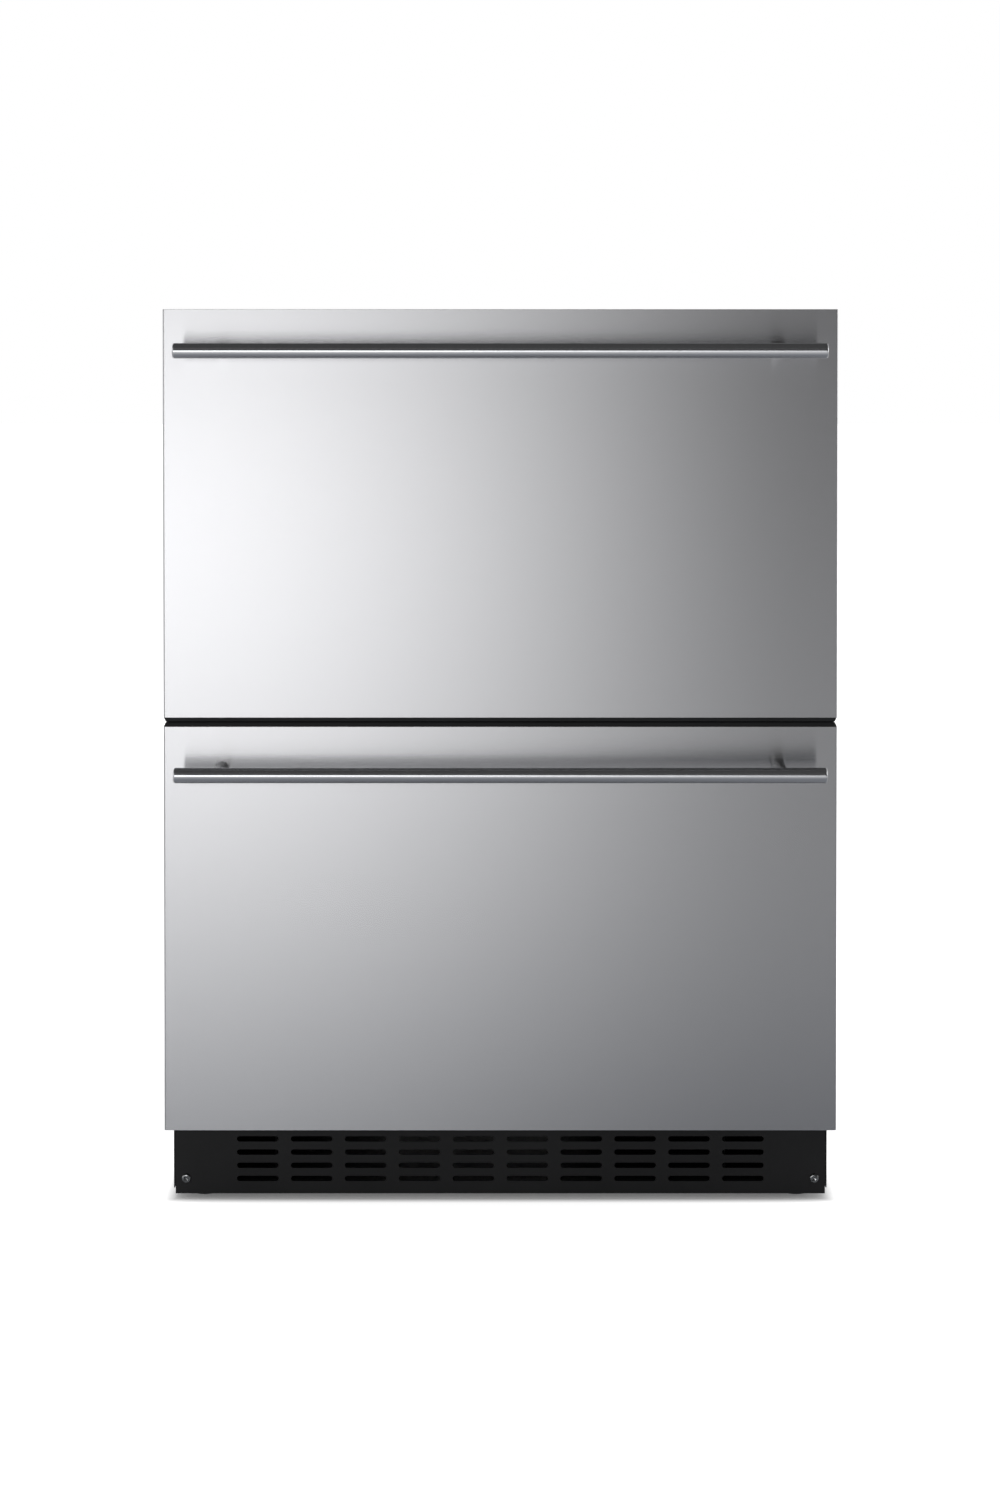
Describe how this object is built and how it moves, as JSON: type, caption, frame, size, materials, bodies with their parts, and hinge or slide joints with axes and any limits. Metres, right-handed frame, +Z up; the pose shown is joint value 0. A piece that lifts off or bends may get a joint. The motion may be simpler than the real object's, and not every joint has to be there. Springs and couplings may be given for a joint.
{
  "type": "undercounter drawer refrigerator",
  "caption": "Undercounter drawer refrigerator: stacked insulated stainless drawers with bar handles on telescopic slides, in a black cabinet over a slotted toe kick.",
  "frame": {"origin": "on the floor under the feet, at the centre of the footprint, handles included", "axes": "+X to the right as seen from the front, -Y the side the drawers open to, +Z up"},
  "size_m": [0.6, 0.65, 0.812],
  "materials": {
    "black_painted_steel": "satin",
    "galvanised_sheet": "satin",
    "stainless_skin": "satin",
    "stainless_bar": "satin",
    "zinc_plated_steel": "satin",
    "chromed_screws": "polished",
    "white_liner": "gloss",
    "black_plastic": "matte",
    "grey_bin_plastic": "satin",
    "clear_divider": "gloss",
    "insulating_foam": "matte",
    "gasket_rubber": "matte",
    "black_rubber": "matte",
    "aluminium_fins": "satin",
    "copper_tube": "satin",
    "black_enamel": "gloss",
    "dark_window": "gloss",
    "light_diffuser": "matte"
  },
  "bodies": {
    "cabinet": {"left_side_panel": "black_painted_steel", "right_side_panel": "black_painted_steel", "top_panel": "black_painted_steel", "rear_panel": "galvanised_sheet", "machine_cover": "black_painted_steel", "base_pan": "black_painted_steel", "floor_plate": "galvanised_sheet", "cabinet_foam": "insulating_foam", "inner_liner": "white_liner", "cross_rails": "black_painted_steel", "toe_kick_grille": "black_painted_steel", "cabinet_screws": "chromed_screws", "evaporator_coil": "aluminium_fins", "evaporator_cover": "white_liner", "evaporator_fan_motor": "black_plastic", "control_housing": "black_plastic", "display_window": "dark_window", "light_strip": "light_diffuser", "compressor": "black_enamel", "compressor_grommets": "black_rubber", "condenser_coil": "black_enamel", "condenser_fan_shroud": "black_plastic", "drip_tray": "black_plastic", "refrigerant_tubing": "copper_tube", "cord_gland": "black_rubber", "upper_slide_outer": "zinc_plated_steel", "lower_slide_outer": "zinc_plated_steel"},
    "upper_drawer": {"upper_front_skin": "stainless_skin", "upper_front_foam": "insulating_foam", "upper_inner_panel": "white_liner", "upper_end_caps": "black_plastic", "upper_gasket": "gasket_rubber", "upper_handle_bar": "stainless_bar", "upper_handle_posts": "stainless_bar", "upper_bin": "grey_bin_plastic", "upper_bin_rails": "zinc_plated_steel", "upper_slide_inner": "zinc_plated_steel"},
    "upper_slide_middle": {"upper_slide_middle": "zinc_plated_steel"},
    "upper_divider": {"upper_divider": "clear_divider"},
    "lower_drawer": {"lower_front_skin": "stainless_skin", "lower_front_foam": "insulating_foam", "lower_inner_panel": "white_liner", "lower_end_caps": "black_plastic", "lower_gasket": "gasket_rubber", "lower_handle_bar": "stainless_bar", "lower_handle_posts": "stainless_bar", "lower_bin": "grey_bin_plastic", "lower_bin_rails": "zinc_plated_steel", "lower_slide_inner": "zinc_plated_steel"},
    "lower_slide_middle": {"lower_slide_middle": "zinc_plated_steel"},
    "lower_divider": {"lower_divider": "clear_divider"},
    "evaporator_fan": {"evaporator_fan": "light_diffuser"},
    "condenser_fan": {"condenser_fan": "black_plastic"},
    "power_button": {"power_button": "black_plastic"},
    "colder_button": {"colder_button": "black_plastic"},
    "warmer_button": {"warmer_button": "black_plastic"},
    "front_left_foot": {"front_left_foot": "black_plastic"},
    "front_right_foot": {"front_right_foot": "black_plastic"},
    "rear_left_foot": {"rear_left_foot": "black_plastic"},
    "rear_right_foot": {"rear_right_foot": "black_plastic"}
  },
  "joints": [
    {"name": "drawer_lower_slide", "type": "slide", "parent": "cabinet", "child": "lower_drawer", "axis": [0, -1, 0], "range_m": [0, 0.4]},
    {"name": "drawer_lower_slide_middle", "type": "slide", "parent": "cabinet", "child": "lower_slide_middle", "axis": [0, -1, 0], "range_m": [0, 0.2]},
    {"name": "divider_lower_slide", "type": "slide", "parent": "lower_drawer", "child": "lower_divider", "axis": [1, 0, 0], "range_m": [-0.15, 0.15]},
    {"name": "drawer_upper_slide", "type": "slide", "parent": "cabinet", "child": "upper_drawer", "axis": [0, -1, 0], "range_m": [0, 0.4]},
    {"name": "drawer_upper_slide_middle", "type": "slide", "parent": "cabinet", "child": "upper_slide_middle", "axis": [0, -1, 0], "range_m": [0, 0.2]},
    {"name": "divider_upper_slide", "type": "slide", "parent": "upper_drawer", "child": "upper_divider", "axis": [1, 0, 0], "range_m": [-0.15, 0.15]},
    {"name": "fan_evaporator_spin", "type": "hinge", "parent": "cabinet", "child": "evaporator_fan", "pos_m": [0, 0.235, 0.7], "axis": [0, 1, 0], "continuous": true},
    {"name": "fan_condenser_spin", "type": "hinge", "parent": "cabinet", "child": "condenser_fan", "pos_m": [-0.206, 0.207, 0.122], "axis": [0, 1, 0], "continuous": true},
    {"name": "button_power_press", "type": "slide", "parent": "cabinet", "child": "power_button", "axis": [0, 1, 0], "range_m": [0, 0.001], "stiffness_N_per_m": 400},
    {"name": "button_colder_press", "type": "slide", "parent": "cabinet", "child": "colder_button", "axis": [0, 1, 0], "range_m": [0, 0.001], "stiffness_N_per_m": 400},
    {"name": "button_warmer_press", "type": "slide", "parent": "cabinet", "child": "warmer_button", "axis": [0, 1, 0], "range_m": [0, 0.001], "stiffness_N_per_m": 400},
    {"name": "foot_front_left_screw", "type": "slide", "parent": "cabinet", "child": "front_left_foot", "axis": [0, 0, -1], "range_m": [0, 0.018]},
    {"name": "foot_front_right_screw", "type": "slide", "parent": "cabinet", "child": "front_right_foot", "axis": [0, 0, -1], "range_m": [0, 0.018]},
    {"name": "foot_rear_left_screw", "type": "slide", "parent": "cabinet", "child": "rear_left_foot", "axis": [0, 0, -1], "range_m": [0, 0.018]},
    {"name": "foot_rear_right_screw", "type": "slide", "parent": "cabinet", "child": "rear_right_foot", "axis": [0, 0, -1], "range_m": [0, 0.018]}
  ],
  "couplings": [
    {"joint": "drawer_lower_slide_middle", "follows": "drawer_lower_slide", "ratio": 0.5},
    {"joint": "drawer_upper_slide_middle", "follows": "drawer_upper_slide", "ratio": 0.5}
  ]
}
